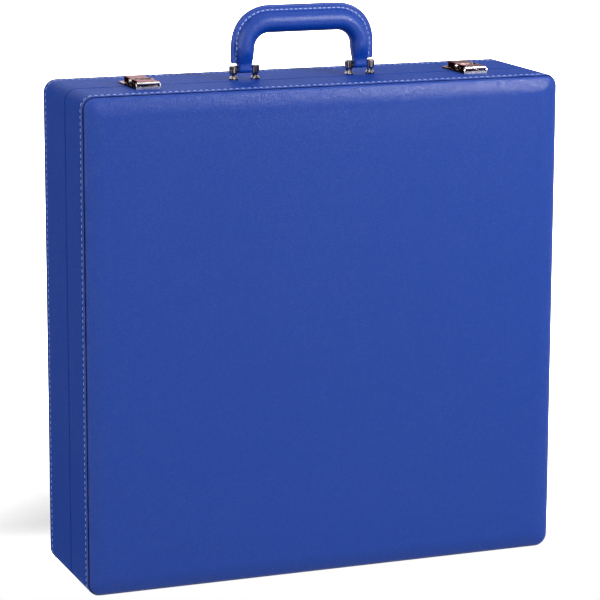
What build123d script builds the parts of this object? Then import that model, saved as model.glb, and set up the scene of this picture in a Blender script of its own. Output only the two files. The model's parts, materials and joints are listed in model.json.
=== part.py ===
from build123d import *
import math
import os

# Chess box: an upright attaché case of two covered wooden shells.
# Frame: X is the width, +Y points to the back of the case, +Z points up to the handle.
# The origin is the centre of the footprint, on the floor. All sizes are in millimetres.

# Case body
case_w = 394.0
case_h = 391.0
lid_depth = 48.0
base_depth = 62.0
corner_r = 10.0
cover_t = 1.2
board_t = 9.0
seam_gap = 0.4

# Stitched rim and padded panel
rim_set = 3.0
rim_depth = 2.0
rim_t = 0.9
groove_w = 0.3
panel_t = 3.5
panel_cover_t = 1.0
rim_round = 0.5
pad_border = 15.0
pad_proud = 2.5
pad_edge_drop = 0.9
pad_steps = 6
panel_wrap = 0.8
least_corner_r = 2.0

# Lining and fixed insert
lining_t = 1.2
floor_lining_t = 1.5
insert_pad_t = 3.0
insert_frame_t = 3.0
divider_t = 2.0
row_wall_t = 2.5
insert_depth = 44.0
slot_columns = 8
pawn_columns = 4
long_slot = 112.0

# Hinges
hinge_axis_z = 2.8
hinge_inset = 87.0
hinge_len = 60.0
knuckle_count = 5
knuckle_r = 2.3
knuckle_gap = 0.2
hinge_pin_r = 1.2
leaf_t = 1.0
leaf_h = 7.2
leaf_inset = 0.1
sink_t = 0.7
lid_opening = 95.0
edge_spare_angle = 5.0
hinge_screw_r = 1.2
hinge_screw_head_r = 2.0
hinge_screw_len = 11.0
hinge_screw_pitch = 22.0
hinge_screw_count = 3

# Handle
handle_y = 0.0
leg_x = 48.7
leg_r = 7.2
elbow_r = 8.0
grip_r = 9.0
elbow_bend_r = 20.0
grip_axis_h = 44.6
leg_end_h = 13.0
pivot_h = 7.5
pivot_r = 1.3
tongue_depth = 8.0
tongue_drop = 2.4
tongue_round = 2.2
sleeve_t = 1.4
core_r = 2.2
welt_reach = 4.0
welt_t = 3.2
welt_corner_trim = 2.0
post_spacing = 18.0
post_h = 11.3
post_head_r = 3.3
post_waist_r = 2.5
post_foot_r = 3.6
post_foot_h = 1.2
post_waist_low = 3.2
post_waist_high = 4.4
post_head_low = 5.6
post_bevel = 0.6
stud_r = 2.0
nut_r = 4.0
nut_t = 3.2
washer_r = 4.5
washer_t = 0.8
stud_end = 0.4

# Latches, measured forwards from the seam (u) and upwards from the case top (h)
latch_inset = 60.0
plate_w = 20.0
plate_t = 1.0
latch_w = 15.0
latch_h = 6.0
latch_sheet = 0.8
lever_pivot_u = 3.4
lever_pivot_h = 4.0
hasp_pivot_u = 8.4
hasp_pivot_h = 3.2
lever_plate_u = 10.6
lever_lip_u = 20.6
lip_r = 1.5
arm_low = 1.6
arm_back = 3.0
base_plate_u = 22.2
plate_edge_h = 1.9
guard_h = 4.8
guard_r = 2.2
ear_r = 2.0
hasp_knuckle_r = 1.5
hasp_end_u = -15.0
hook_h = 2.2
keeper_end_u = -25.0
keeper_roll_r = 1.4
stub_r = 0.8
cross_pin_r = 0.8
rivet_r = 1.2
rivet_head_r = 1.9
rivet_head_t = 0.7
rivet_len = 6.0
rivet_round = 0.55
rivet_x = 4.5

# Clearances
running = 0.05
free_gap = 0.3
hole_gap = 0.1
over = 1.0

# Planes and inner sizes that follow from the sizes above
front_y = -(lid_depth + base_depth) / 2
back_y = -front_y
face_depth = rim_set + rim_depth
seam_y = front_y + lid_depth
wall_t = cover_t + board_t
inner_x = case_w / 2 - wall_t
hinge_x = case_w / 2 - hinge_inset
latch_x = case_w / 2 - latch_inset
inner_low = wall_t
inner_high = case_h - wall_t
lid_rim_y = seam_y - seam_gap / 2
base_rim_y = seam_y + seam_gap / 2
pivot_z = case_h + pivot_h
leaf_low = hinge_axis_z + knuckle_r + free_gap


def block(x0, x1, y0, y1, z0, z1):
    """Box between two corners."""
    middle = Pos((x0 + x1) / 2, (y0 + y1) / 2, (z0 + z1) / 2)
    return middle * Box(x1 - x0, y1 - y0, z1 - z0)


def rod_x(y, z, r, x0, x1):
    """Round bar along X."""
    return Pos((x0 + x1) / 2, y, z) * Rot(0, 90, 0) * Cylinder(r, x1 - x0)


def rod_y(x, z, r, y0, y1):
    """Round bar along Y."""
    return Pos(x, (y0 + y1) / 2, z) * Rot(90, 0, 0) * Cylinder(r, y1 - y0)


def rod_z(x, y, r, z0, z1):
    """Round bar along Z."""
    return Pos(x, y, (z0 + z1) / 2) * Cylinder(r, z1 - z0)


def profile_x(points, x0, x1):
    """Outline of (y, z) points, pulled along X."""
    outline = make_face(Polyline(*points, close=True))
    return extrude(Plane.YZ.offset(x0) * outline, amount=x1 - x0)


def outline_at(inset, y):
    """Rounded outline of the case, inset from its walls, in the plane at y."""
    radius = max(corner_r - inset, least_corner_r)
    plane = Plane(origin=(0, y, case_h / 2), x_dir=(1, 0, 0), z_dir=(0, 1, 0))
    return plane * RectangleRounded(case_w - 2 * inset, case_h - 2 * inset, radius)


def slab(inset, y0, y1):
    """Rounded slab between two planes of Y."""
    return extrude(outline_at(inset, y0), amount=y1 - y0)


def crown(inset0, y0, inset1, y1):
    """Padded face whose slope flattens out towards its field."""
    sections = []
    for i in range(pad_steps + 1):
        t = i / pad_steps
        sections.append(outline_at(inset0 + (inset1 - inset0) * t, y0 + (y1 - y0) * t * (2 - t)))
    return loft(sections, ruled=True)


def flip(shape, to_back):
    """Front half as it is, or its mirror image for the back half."""
    return shape.mirror(Plane.XZ) if to_back else shape


def save(name, *solids):
    """Write one node, its solids kept separate."""
    parts = []
    for solid in solids:
        parts.extend(solid.solids())
    export_step(Compound(parts), f"parts/{name}.step")


# Case body

def seam_relief(deeper=0.0):
    """Wedge between both lower seam edges, which sets how far the lid can open."""
    half_angle = math.radians((lid_opening + edge_spare_angle) / 2)
    tip = hinge_axis_z + deeper / math.sin(half_angle)
    reach = (tip + over) * math.tan(half_angle)
    return profile_x([(seam_y, tip), (seam_y - reach, -over), (seam_y + reach, -over)], -case_w, case_w)


def hinge_room():
    """Round recess for the knuckles and a shallow one for each leaf, at both hinges."""
    room = []
    for x in (-hinge_x, hinge_x):
        x0 = x - hinge_len / 2 - free_gap
        x1 = x + hinge_len / 2 + free_gap
        room.append(rod_x(seam_y, hinge_axis_z, knuckle_r + free_gap, x0, x1))
        reach = leaf_inset + leaf_t
        room.append(block(x0, x1, seam_y - reach, seam_y + reach, hinge_axis_z, hinge_axis_z + leaf_h))
    return room


def screw_places():
    """Centre of every hinge screw, as x and z."""
    z = leaf_low + (hinge_axis_z + leaf_h - leaf_low) / 2
    for x in (-hinge_x, hinge_x):
        for i in range(hinge_screw_count):
            yield x + (i - (hinge_screw_count - 1) / 2) * hinge_screw_pitch, z


def post_places():
    """Centre of every handle post, as x."""
    for side in (-1, 1):
        for step in (-0.5, 0.5):
            yield side * leg_x + step * post_spacing


def shell_boards(y0, y1):
    """Left, right, bottom and top boards of one shell."""
    x_out = case_w / 2 - cover_t
    round_r = min(corner_r - cover_t, board_t - hole_gap)
    boards = []
    for side in (-1, 1):
        x0, x1 = sorted((side * x_out, side * inner_x))
        board = block(x0, x1, y0, y1, cover_t, case_h - cover_t)
        outer = board.edges().filter_by(Axis.Y).sort_by(lambda edge: side * edge.center().X)[-2:]
        boards.append(fillet(outer, round_r))
    boards.append(block(-inner_x, inner_x, y0, y1, cover_t, inner_low))
    boards.append(block(-inner_x, inner_x, y0, y1, inner_high, case_h - cover_t))
    return boards


def wall_cover(rim_y, seam_side_y):
    """Covering of one shell in four lengths: a thin rim at one end, turned in at the seam."""
    towards_seam = 1 if seam_side_y > rim_y else -1
    board_start = rim_y + towards_seam * rim_depth
    y0, y1 = sorted((rim_y, seam_side_y))
    ring = slab(0, y0, y1)
    rim_edge = ring.faces().sort_by(Axis.Y)[0 if towards_seam > 0 else -1].outer_wire().edges()
    ring = fillet(rim_edge, rim_round)
    b0, b1 = sorted((board_start, seam_side_y - towards_seam * cover_t))
    ring -= slab(cover_t, b0, b1) - seam_relief(cover_t)
    r0, r1 = sorted((rim_y, board_start))
    ring -= slab(rim_t, r0, r1)
    y0 -= over
    y1 += over
    ring -= block(-inner_x, inner_x, y0, y1, inner_low, inner_high)
    lengths = [
        ring & block(-inner_x, inner_x, y0, y1, -over, case_h / 2),
        ring & block(-inner_x, inner_x, y0, y1, case_h / 2, case_h + over),
    ]
    for side in (-1, 1):
        x0, x1 = sorted((side * inner_x, side * case_w))
        lengths.append(ring & block(x0, x1, y0, y1, -over, case_h + over))
    return lengths


def cut_all(solids, cutters):
    """Take every cutter out of every solid."""
    result = []
    for solid in solids:
        for cutter in cutters:
            solid = solid - cutter
        result.append(solid)
    return result


def padded_panel(to_back):
    """Stiff panel, foam pad and padded cover of the front, or their mirror image for the back."""
    cover_inset = rim_t + groove_w
    board_inset = cover_inset + panel_wrap
    board_front = front_y + face_depth - panel_t
    field_inset = cover_inset + pad_border
    panel = slab(board_inset, board_front, front_y + face_depth)
    shoulder = front_y + pad_edge_drop
    foam = crown(board_inset, board_front, field_inset, front_y - pad_proud + panel_cover_t)
    skin = slab(cover_inset, shoulder, front_y + face_depth)
    skin += crown(cover_inset, shoulder, field_inset - panel_cover_t, front_y - pad_proud)
    skin = skin - panel - foam
    return [flip(shape, to_back) for shape in (panel, foam, skin)]


def make_shells():
    board_room = [seam_relief(cover_t)] + hinge_room()
    cover_room = [seam_relief()] + hinge_room()
    lid_boards = cut_all(shell_boards(front_y + face_depth, lid_rim_y - cover_t), board_room)
    base_boards = cut_all(shell_boards(base_rim_y + cover_t, back_y - face_depth), board_room)
    lid_cover = cut_all(wall_cover(front_y + rim_set, lid_rim_y), cover_room)
    base_cover = cut_all(wall_cover(back_y - rim_set, base_rim_y), cover_room)

    pilot_r = hinge_screw_r + hole_gap
    for x, z in screw_places():
        reach = hinge_screw_len + free_gap
        lid_boards = cut_all(lid_boards, [rod_y(x, z, pilot_r, seam_y - reach, seam_y)])
        lid_cover = cut_all(lid_cover, [rod_y(x, z, pilot_r, seam_y - reach, seam_y)])
        base_boards = cut_all(base_boards, [rod_y(x, z, pilot_r, seam_y, seam_y + reach)])
        base_cover = cut_all(base_cover, [rod_y(x, z, pilot_r, seam_y, seam_y + reach)])

    recess_depth = washer_t + nut_t + stud_end + free_gap
    for x in post_places():
        stud_hole = rod_z(x, handle_y, stud_r + hole_gap, case_h / 2, case_h + over)
        recess = rod_z(x, handle_y, washer_r + hole_gap, inner_high - over, inner_high + recess_depth)
        base_boards = cut_all(base_boards, [stud_hole, recess])
        base_cover = cut_all(base_cover, [stud_hole])

    for x, y in rivet_places(rivet_u_lid()):
        hole = rod_z(x, y, rivet_r + hole_gap, case_h - rivet_len - free_gap, case_h + over)
        lid_boards = cut_all(lid_boards, [hole])
        lid_cover = cut_all(lid_cover, [hole])
    for x, y in rivet_places(rivet_u_base()):
        hole = rod_z(x, y, rivet_r + hole_gap, case_h - rivet_len - free_gap, case_h + over)
        base_boards = cut_all(base_boards, [hole])
        base_cover = cut_all(base_cover, [hole])

    save("lid_side_boards", *lid_boards[:2])
    save("lid_end_boards", *lid_boards[2:])
    save("base_side_boards", *base_boards[:2])
    save("base_end_boards", *base_boards[2:])
    save("lid_wall_cover", *lid_cover)
    save("base_wall_cover", *base_cover)

    for prefix, to_back in (("lid_front", False), ("base_back", True)):
        panel, foam, skin = padded_panel(to_back)
        save(f"{prefix}_panel", panel)
        save(f"{prefix}_foam", foam)
        save(f"{prefix}_cover", skin)


# Linings and insert

def wall_lining(y0, y1):
    """Four strips that line the inner walls of one shell."""
    x_in = inner_x - lining_t
    return [
        block(-inner_x, -x_in, y0, y1, inner_low, inner_high),
        block(x_in, inner_x, y0, y1, inner_low, inner_high),
        block(-x_in, x_in, y0, y1, inner_low, inner_low + lining_t),
        block(-x_in, x_in, y0, y1, inner_high - lining_t, inner_high),
    ]


def make_linings():
    lid_floor = front_y + face_depth
    base_floor = back_y - face_depth
    lid_top = lid_floor + floor_lining_t
    base_top = base_floor - floor_lining_t
    edge = cover_t + free_gap
    save("lid_floor_lining", block(-inner_x, inner_x, lid_floor, lid_top, inner_low, inner_high))
    save("base_floor_lining", block(-inner_x, inner_x, base_top, base_floor, inner_low, inner_high))
    save("lid_wall_lining", *wall_lining(lid_top, lid_rim_y - edge))
    save("base_wall_lining", *wall_lining(base_rim_y + edge, base_top))


def make_insert():
    """Fixed insert of the base: long slots in the outer rows and pawn slots in the two middle rows."""
    floor_y = back_y - face_depth - floor_lining_t
    deep = floor_y - insert_pad_t
    top = deep - insert_depth
    x_out = inner_x - lining_t
    z_low = inner_low + lining_t
    z_high = inner_high - lining_t
    save("insert_floor_pad", block(-x_out, x_out, deep, floor_y, z_low, z_high))

    x_in = x_out - insert_frame_t
    z0 = z_low + insert_frame_t
    z1 = z_high - insert_frame_t
    save("insert_frame",
         block(-x_out, -x_in, top, deep, z_low, z_high),
         block(x_in, x_out, top, deep, z_low, z_high),
         block(-x_in, x_in, top, deep, z_low, z0),
         block(-x_in, x_in, top, deep, z1, z_high))

    middle = (z0 + z1) / 2
    row_walls = [
        (z0 + long_slot, z0 + long_slot + row_wall_t),
        (middle - row_wall_t / 2, middle + row_wall_t / 2),
        (z1 - long_slot - row_wall_t, z1 - long_slot),
    ]
    save("insert_row_walls", *[block(-x_in, x_in, top, deep, a, b) for a, b in row_walls])

    dividers = []
    rows = [
        (z0, row_walls[0][0], slot_columns),
        (row_walls[0][1], row_walls[1][0], pawn_columns),
        (row_walls[1][1], row_walls[2][0], pawn_columns),
        (row_walls[2][1], z1, slot_columns),
    ]
    for low, high, columns in rows:
        slot = (2 * x_in - (columns - 1) * divider_t) / columns
        for i in range(1, columns):
            x = -x_in + i * slot + (i - 1) * divider_t
            dividers.append(block(x, x + divider_t, top, deep, low, high))
    save("insert_dividers", *dividers)


# Hinges

def knuckles(x, first):
    """Every second knuckle of one hinge, from the first or the second on."""
    pitch = hinge_len / knuckle_count
    start = x - hinge_len / 2
    for i in range(first, knuckle_count, 2):
        yield start + i * pitch + knuckle_gap / 2, start + (i + 1) * pitch - knuckle_gap / 2


def hinge_leaf(x, side, first):
    """Leaf on one side of the seam, with its knuckles."""
    y0, y1 = sorted((seam_y + side * leaf_inset, seam_y + side * (leaf_inset + leaf_t)))
    leaf = block(x - hinge_len / 2, x + hinge_len / 2, y0, y1, leaf_low, hinge_axis_z + leaf_h)
    for x0, x1 in knuckles(x, first):
        leaf += block(x0, x1, y0, y1, hinge_axis_z, leaf_low)
        leaf += rod_x(seam_y, hinge_axis_z, knuckle_r, x0, x1)
    leaf -= rod_x(seam_y, hinge_axis_z, hinge_pin_r + running, x - hinge_len, x + hinge_len)
    for sx, sz in screw_places():
        leaf -= rod_y(sx, sz, hinge_screw_r + hole_gap, y0 - over, y1 + over)
        leaf -= countersink(sx, sz, side, hole_gap)
    return leaf


def countersink(x, z, side, extra):
    """Conical screw head, its wide end level with the leaf's outer face."""
    cone = Cone(hinge_screw_head_r + extra, hinge_screw_r + extra, sink_t)
    middle = seam_y + side * (leaf_inset + sink_t / 2)
    return Pos(x, middle, z) * Rot(-side * 90, 0, 0) * cone


def make_hinges():
    sides = {"base": (1, 0), "lid": (-1, 1)}
    for name, (side, first) in sides.items():
        save(f"{name}_hinge_leaves", *[hinge_leaf(x, side, first) for x in (-hinge_x, hinge_x)])
        screws = []
        for x, z in screw_places():
            y0, y1 = sorted((seam_y + side * leaf_inset, seam_y + side * hinge_screw_len))
            screws.append(rod_y(x, z, hinge_screw_r, y0, y1) + countersink(x, z, side, 0))
        save(f"{name}_hinge_screws", *screws)
    pins = []
    for x in (-hinge_x, hinge_x):
        pins.append(rod_x(seam_y, hinge_axis_z, hinge_pin_r, x - hinge_len / 2, x + hinge_len / 2))
    save("hinge_pins", *pins)


# Handle

def arch(radius_leg, radius_elbow, radius_middle, end_z):
    """Round bar bent into the handle's arch, standing on its legs."""
    axis_z = case_h + grip_axis_h
    bend_z = axis_z - elbow_bend_r
    half = leg_x - elbow_bend_r
    if radius_middle > radius_elbow:
        outside = ThreePointArc((-half, radius_elbow), (0, radius_middle), (half, radius_elbow))
    else:
        outside = Line((-half, radius_elbow), (half, radius_elbow))
    outline = Polyline((half, radius_elbow), (half, 0), (-half, 0), (-half, radius_elbow)) + outside
    bar = Pos(0, handle_y, axis_z) * revolve(Plane.XZ * make_face(outline), Axis.X)
    for side in (-1, 1):
        section = Plane(origin=(side * half, handle_y, axis_z), x_dir=(0, 1, 0), z_dir=(1, 0, 0))
        bend_axis = Axis((side * half, handle_y, bend_z), (0, side, 0))
        bar += revolve(section * Circle(radius_elbow), bend_axis, 90)
        height = bend_z - end_z
        tapered = radius_leg != radius_elbow
        leg = Cone(radius_leg, radius_elbow, height) if tapered else Cylinder(radius_leg, height)
        bar += Pos(side * leg_x, handle_y, end_z + height / 2) * leg
    return bar


def tongue(half_w, half_d, low):
    """Flat ends of both legs, rounded below, each between its two posts."""
    pair = []
    top = case_h + leg_end_h
    for side in (-1, 1):
        x = side * leg_x
        body = block(x - half_w, x + half_w, handle_y - half_d, handle_y + half_d, low, top)
        lower_edges = body.faces().sort_by(Axis.Z)[0].edges().filter_by(Axis.X)
        pair.append(fillet(lower_edges, min(tongue_round, half_d - hole_gap)))
    return pair


def make_handle():
    leg_end = case_h + leg_end_h
    half_w = post_spacing / 2 - post_head_r - free_gap
    low = pivot_z - tongue_drop
    core = arch(core_r, core_r, core_r, leg_end)
    for end in tongue(half_w - sleeve_t, tongue_depth / 2 - sleeve_t, low + sleeve_t):
        core += end
    grip = arch(leg_r, elbow_r, grip_r, leg_end)
    for end in tongue(half_w, tongue_depth / 2, low):
        grip += end
    solid_grip = grip
    grip = grip - core

    welt = welt_outline() - solid_grip

    pivots = []
    reach = post_spacing / 2 + post_head_r - free_gap
    for side in (-1, 1):
        x = side * leg_x
        hole = rod_x(handle_y, pivot_z, pivot_r, x - half_w, x + half_w)
        core -= hole
        grip -= hole
        pivots.append(rod_x(handle_y, pivot_z, pivot_r, x - reach, x + reach))
    save("handle_core", core)
    save("handle_grip", grip)
    save("handle_welt", welt)
    save("handle_pivots", *pivots)
    make_posts()


def welt_outline():
    """Stitched edge that follows the outside of the arch, as a flat arch-shaped plate."""
    low = case_h + leg_end_h
    outer_x = leg_x + leg_r + welt_reach
    outer_z = case_h + grip_axis_h + grip_r + welt_reach
    outer = block(-outer_x, outer_x, handle_y - welt_t / 2, handle_y + welt_t / 2, low, outer_z)
    corners = outer.faces().sort_by(Axis.Z)[-1].edges().filter_by(Axis.Y)
    outer = fillet(corners, elbow_bend_r + elbow_r + welt_reach - welt_corner_trim)
    inner = block(-leg_x, leg_x, handle_y - welt_t, handle_y + welt_t, low - over, case_h + grip_axis_h)
    corners = inner.faces().sort_by(Axis.Z)[-1].edges().filter_by(Axis.Y)
    return outer - fillet(corners, elbow_bend_r)


def make_posts():
    """Spool-shaped posts with their studs, and the washers and nuts inside the top wall."""
    washer_top = inner_high + washer_t + nut_t + stud_end + free_gap
    nut_top = washer_top - washer_t
    end = nut_top - nut_t - stud_end
    posts = []
    washers = []
    nuts = []
    for x in post_places():
        points = [
            (0, end),
            (stud_r, end),
            (stud_r, case_h),
            (post_foot_r, case_h),
            (post_foot_r, case_h + post_foot_h),
            (post_waist_r, case_h + post_waist_low),
            (post_waist_r, case_h + post_waist_high),
            (post_head_r, case_h + post_head_low),
            (post_head_r, case_h + post_h - post_bevel),
            (post_head_r - post_bevel, case_h + post_h),
            (0, case_h + post_h),
        ]
        body = revolve(Plane.XZ * make_face(Polyline(*points, close=True)), Axis.Z)
        post = Pos(x, handle_y, 0) * body
        posts.append(post - rod_x(handle_y, pivot_z, pivot_r + running, x - post_foot_r, x + post_foot_r))
        washer = rod_z(x, handle_y, washer_r, nut_top, washer_top)
        washers.append(washer - rod_z(x, handle_y, stud_r + hole_gap, end, case_h))
        nut = Pos(x, handle_y, nut_top - nut_t) * extrude(RegularPolygon(nut_r, 6), amount=nut_t)
        nuts.append(nut - rod_z(x, handle_y, stud_r, end, case_h))
    save("handle_posts", *posts)
    save("handle_washers", *washers)
    save("handle_nuts", *nuts)


# Latches

def rivet_u_lid():
    """Rivets of the lid's plate, between the hasp pivot and the lip."""
    return (hasp_pivot_u + lever_lip_u) / 2


def rivet_u_base():
    """Rivets of the keeper, behind the closed hasp."""
    return (hasp_end_u + keeper_end_u) / 2


def rivet_places(u):
    """Centres of the rivets of both latches, as x and y."""
    for side in (-1, 1):
        for step in (-1, 1):
            yield side * latch_x + step * rivet_x, seam_y - u


def sheet(x, points, half0, half1):
    """Outline of (u, h) points, between two half widths on one side of the latch's centre."""
    world = [(seam_y - u, case_h + h) for u, h in points]
    return profile_x(world, x + half0, x + half1)


def rect(u0, u1, h0, h1):
    """Corner points of a rectangle."""
    return [(u0, h0), (u1, h0), (u1, h1), (u0, h1)]


def bar(x, u, h, r, half0, half1):
    """Round bar across the latch."""
    return rod_x(seam_y - u, case_h + h, r, x + half0, x + half1)


def rivet_holes(plate, u):
    for x, y in rivet_places(u):
        plate -= rod_z(x, y, rivet_r + hole_gap, case_h - over, case_h + plate_t + over)
    return plate


def latch_base_plate(x):
    """Plate on the lid with ears for the lever, a turned-up front edge and guards beside the lip."""
    half = plate_w / 2
    start = seam_gap + free_gap
    plate = sheet(x, rect(start, base_plate_u, 0, plate_t), -half, half)
    plate += sheet(x, rect(base_plate_u - plate_t, base_plate_u, 0, plate_edge_h), -half, half)
    for side in (-1, 1):
        outer = side * half
        inner = side * (latch_w / 2 + free_gap)
        a, b = sorted((outer, inner))
        ear = sheet(x, rect(lever_pivot_u - ear_r, lever_pivot_u + ear_r, plate_t, lever_pivot_h), a, b)
        ear += bar(x, lever_pivot_u, lever_pivot_h, ear_r, a, b)
        plate += ear
        a, b = sorted((outer, outer - side * latch_sheet))
        guard_u = base_plate_u - guard_r
        plate += sheet(x, rect(guard_u - guard_r, base_plate_u, 0, guard_h - guard_r), a, b)
        plate += bar(x, guard_u, guard_h - guard_r, guard_r, a, b)
    plate -= bar(x, lever_pivot_u, lever_pivot_h, stub_r + running, -plate_w, plate_w)
    return rivet_holes(plate, rivet_u_lid())


def latch_lever(x):
    """Cover plate with two side arms and a rolled finger lip."""
    half = latch_w / 2
    arm_r = latch_h - lever_pivot_h
    lever = sheet(x, rect(lever_plate_u, lever_lip_u, latch_h - latch_sheet, latch_h), -half, half)
    arm = [
        (lever_pivot_u, lever_pivot_h - arm_r),
        (lever_pivot_u + arm_back, arm_low),
        (lever_lip_u - arm_back, arm_low),
        (lever_lip_u - lip_r / 2, latch_h - lip_r),
        (lever_lip_u - lip_r / 2, latch_h),
        (lever_pivot_u, latch_h),
    ]
    for side in (-1, 1):
        a, b = sorted((side * half, side * (half - latch_sheet)))
        lever += sheet(x, arm, a, b)
        lever += bar(x, lever_pivot_u, lever_pivot_h, arm_r, a, b)
    lip_half = plate_w / 2 - latch_sheet - free_gap
    lever += bar(x, lever_lip_u, latch_h - lip_r, lip_r, -lip_half, lip_half)
    lever -= bar(x, lever_pivot_u, lever_pivot_h, stub_r, -latch_w, latch_w)
    lever -= bar(x, hasp_pivot_u, hasp_pivot_h, cross_pin_r, -latch_w, latch_w)
    return lever


def latch_hasp(x):
    """Strap that turns on the lever and widens into a skirted plate with a hook over the keeper."""
    narrow = latch_w / 2 - latch_sheet - free_gap
    strap_top = hasp_pivot_h + hasp_knuckle_r
    strap_low = strap_top - latch_sheet
    wide_u = lever_pivot_u - (latch_h - lever_pivot_h) - free_gap
    step_u = wide_u - latch_sheet
    hasp = bar(x, hasp_pivot_u, hasp_pivot_h, hasp_knuckle_r, -narrow, narrow)
    hasp += sheet(x, rect(step_u, hasp_pivot_u, strap_low, strap_top), -narrow, narrow)
    hasp += sheet(x, rect(step_u, wide_u, strap_low, latch_h), -narrow, narrow)
    half = latch_w / 2
    hasp += sheet(x, rect(hasp_end_u, wide_u, latch_h - latch_sheet, latch_h), -half, half)
    hasp += sheet(x, rect(hasp_end_u, hasp_end_u + latch_sheet, hook_h, latch_h), -half, half)
    for side in (-1, 1):
        a, b = sorted((side * half, side * (half - latch_sheet)))
        hasp += sheet(x, rect(hasp_end_u, wide_u, plate_t + free_gap, latch_h), a, b)
    hasp -= bar(x, hasp_pivot_u, hasp_pivot_h, cross_pin_r + running, -half, half)
    return hasp


def latch_keeper(x):
    """Plate on the base with the raised roll that the hasp's hook holds."""
    half = plate_w / 2
    start = -seam_gap - free_gap
    plate = sheet(x, rect(keeper_end_u, start, 0, plate_t), -half, half)
    back = plate.edges().filter_by(Axis.Z).sort_by(Axis.Y)[-2:]
    plate = fillet(back, half / 2)
    narrow = latch_w / 2 - latch_sheet - free_gap
    roll_u = hasp_end_u + latch_sheet + free_gap + keeper_roll_r
    roll_h = latch_h - latch_sheet - free_gap - keeper_roll_r
    plate += bar(x, roll_u, roll_h, keeper_roll_r, -narrow, narrow)
    plate += sheet(x, rect(roll_u, roll_u + keeper_roll_r, plate_t, roll_h), -narrow, narrow)
    return rivet_holes(plate, rivet_u_base())


def make_rivets(u):
    rivets = []
    for x, y in rivet_places(u):
        shank = rod_z(x, y, rivet_r, case_h - rivet_len, case_h + plate_t)
        head = rod_z(x, y, rivet_head_r, case_h + plate_t, case_h + plate_t + rivet_head_t)
        head = fillet(head.faces().sort_by(Axis.Z)[-1].edges(), rivet_round)
        rivets.append(shank + head)
    return rivets


def make_latches():
    sides = (-1, 1)
    save("latch_base_plates", *[latch_base_plate(side * latch_x) for side in sides])
    save("latch_keepers", *[latch_keeper(side * latch_x) for side in sides])
    save("latch_plate_rivets", *make_rivets(rivet_u_lid()))
    save("keeper_rivets", *make_rivets(rivet_u_base()))
    half = latch_w / 2
    for side, name in zip(sides, ("left", "right")):
        x = side * latch_x
        save(f"latch_lever_{name}", latch_lever(x))
        save(f"latch_hasp_{name}", latch_hasp(x))
        stubs = []
        for end in sides:
            a, b = sorted((end * plate_w / 2, end * (half - latch_sheet)))
            stubs.append(bar(x, lever_pivot_u, lever_pivot_h, stub_r, a, b))
        save(f"latch_stubs_{name}", *stubs)
        save(f"latch_cross_pin_{name}", bar(x, hasp_pivot_u, hasp_pivot_h, cross_pin_r, -half, half))


os.makedirs("parts", exist_ok=True)
make_shells()
make_linings()
make_insert()
make_hinges()
make_handle()
make_latches()
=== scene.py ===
import json
import math
import bpy
import bmesh
from mathutils import Vector, Matrix

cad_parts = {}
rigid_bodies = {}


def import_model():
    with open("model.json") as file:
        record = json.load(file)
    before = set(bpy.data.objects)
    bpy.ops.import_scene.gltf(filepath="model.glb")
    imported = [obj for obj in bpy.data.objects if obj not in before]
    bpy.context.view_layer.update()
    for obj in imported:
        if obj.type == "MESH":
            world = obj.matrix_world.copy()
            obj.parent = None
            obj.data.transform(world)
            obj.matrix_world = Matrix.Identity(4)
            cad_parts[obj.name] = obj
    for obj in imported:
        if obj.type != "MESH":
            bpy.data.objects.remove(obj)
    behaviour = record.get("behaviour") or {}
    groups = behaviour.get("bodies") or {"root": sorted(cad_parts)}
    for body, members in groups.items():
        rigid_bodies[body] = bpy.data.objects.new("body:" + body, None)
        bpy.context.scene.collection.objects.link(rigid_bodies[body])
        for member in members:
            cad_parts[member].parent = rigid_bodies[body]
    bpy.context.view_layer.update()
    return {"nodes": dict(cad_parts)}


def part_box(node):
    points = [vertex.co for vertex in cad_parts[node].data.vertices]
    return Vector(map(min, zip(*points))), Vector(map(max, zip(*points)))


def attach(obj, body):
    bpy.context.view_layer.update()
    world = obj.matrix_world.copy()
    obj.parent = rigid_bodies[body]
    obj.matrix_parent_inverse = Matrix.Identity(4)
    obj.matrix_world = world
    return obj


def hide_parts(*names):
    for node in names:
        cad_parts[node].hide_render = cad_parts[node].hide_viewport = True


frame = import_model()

nodes = frame["nodes"]
MM = 0.001


def node_span(name):
    """Lowest and highest corners of a node at rest, in millimetres."""
    low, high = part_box(name)
    return [c / MM for c in low], [c / MM for c in high]


# Case sizes in millimetres, read from the frame and rounded

lid_low, lid_high = node_span("lid_wall_cover")
base_low, base_high = node_span("base_wall_cover")
pins_low, pins_high = node_span("hinge_pins")
CASE_W = round(2 * lid_high[0], 2)
CASE_H = round(lid_high[2], 2)
LID_RIM = round(lid_low[1], 2)
BASE_RIM = round(base_high[1], 2)
LID_SEAM = round(lid_high[1], 2)
BASE_SEAM = round(base_low[1], 2)
SEAM = (LID_SEAM + BASE_SEAM) / 2
HINGE_Z = round((pins_low[2] + pins_high[2]) / 2, 2)
HINGE_END = round(pins_high[0], 2)

# Further sizes of the case in millimetres, the same as in the part
RIM_SET = 3.0
FRONT = LID_RIM - RIM_SET
BACK = BASE_RIM + RIM_SET
CORNER = 10.0
COVER_T = 1.2
TURN_IN = 10.2
HINGE_LEN = 60.0
HINGE_X = HINGE_END - HINGE_LEN / 2
RELIEF_ANGLE = math.radians(50.0)
RELIEF = math.tan(RELIEF_ANGLE)

# Stitches along the rim, and how far to each side of them the leather puckers
STITCH_PITCH = 4.9
STITCH_DEPTH = 4.6
PUCKER = 2.2


# Node helpers for the materials

def new_material(name):
    mat = bpy.data.materials.new(name)
    mat.use_nodes = True
    tree = mat.node_tree
    return mat, tree, tree.nodes["Principled BSDF"]


def node(tree, kind, **values):
    made = tree.nodes.new(kind)
    for key, value in values.items():
        if key in made.inputs:
            made.inputs[key].default_value = value
        else:
            setattr(made, key, value)
    return made


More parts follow.
